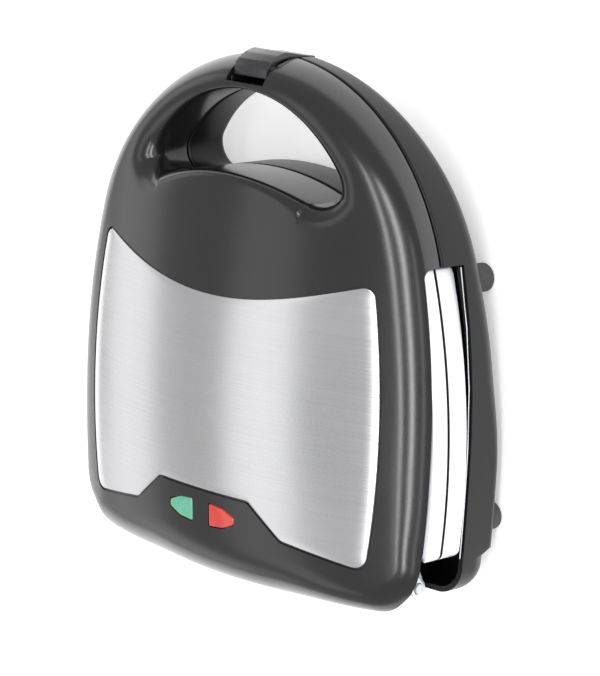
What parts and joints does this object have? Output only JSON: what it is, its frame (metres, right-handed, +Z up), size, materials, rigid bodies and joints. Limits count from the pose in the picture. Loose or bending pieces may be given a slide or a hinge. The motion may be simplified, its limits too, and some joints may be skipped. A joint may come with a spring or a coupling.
{
  "type": "sandwich toaster",
  "caption": "Countertop sandwich toaster with a hinged lid, an arched carrying handle, a curved steel panel, indicator lamps and triangular cooking pockets.",
  "frame": {"origin": "middle of the footprint, on the surface the feet stand on", "axes": "+X towards the left side as the user faces the handle, +Y from the handle to the hinge, +Z up through the lid"},
  "size_m": [0.227, 0.242, 0.083],
  "materials": {
    "black_plastic": "satin moulded, fine grain",
    "clip_plastic": "smooth, slightly glossy",
    "panel_steel": "brushed across the width",
    "green_lens": "moulded translucent lens",
    "red_lens": "moulded translucent lens",
    "ivory_plastic": "heat-resistant moulding",
    "lamp_glass": "clear glass bulbs",
    "plate_aluminium": "satin die casting",
    "heater_steel": "drawn tube, heat-tinted",
    "bright_sheet": "bright rolled sheet",
    "screw_steel": "zinc plated",
    "ceramic": "unglazed ceramic look",
    "brass": "plain",
    "rubber": "matt black"
  },
  "bodies": {
    "base": {"base_shell": "black_plastic", "base_handle_cover": "black_plastic", "lower_plate": "plate_aluminium", "lower_heater": "heater_steel", "lower_heat_shield": "bright_sheet", "base_screws": "screw_steel", "hinge_pins": "screw_steel", "thermostat": "ceramic", "thermal_fuse": "brass", "terminal_block": "ivory_plastic", "cord_gland": "rubber", "rubber_feet": "rubber"},
    "lid": {"lid_shell": "black_plastic", "steel_panel": "panel_steel", "green_lamp_lens": "green_lens", "red_lamp_lens": "red_lens", "lamp_holder": "ivory_plastic", "neon_lamps": "lamp_glass", "lid_handle_cover": "black_plastic", "upper_plate": "plate_aluminium", "upper_heater": "heater_steel", "upper_heat_shield": "bright_sheet", "lid_screws": "screw_steel", "latch_pin": "screw_steel"},
    "latch": {"latch_clip": "clip_plastic"}
  },
  "joints": [
    {"name": "lid_hinge", "type": "hinge", "parent": "base", "child": "lid", "pos_m": [0, 0.1075, 0.038], "axis": [-1, 0, 0], "range_deg": [0, 90]},
    {"name": "latch_pivot", "type": "hinge", "parent": "lid", "child": "latch", "pos_m": [0, -0.1134, 0.0555], "axis": [-1, 0, 0], "range_deg": [-2, 30]}
  ]
}
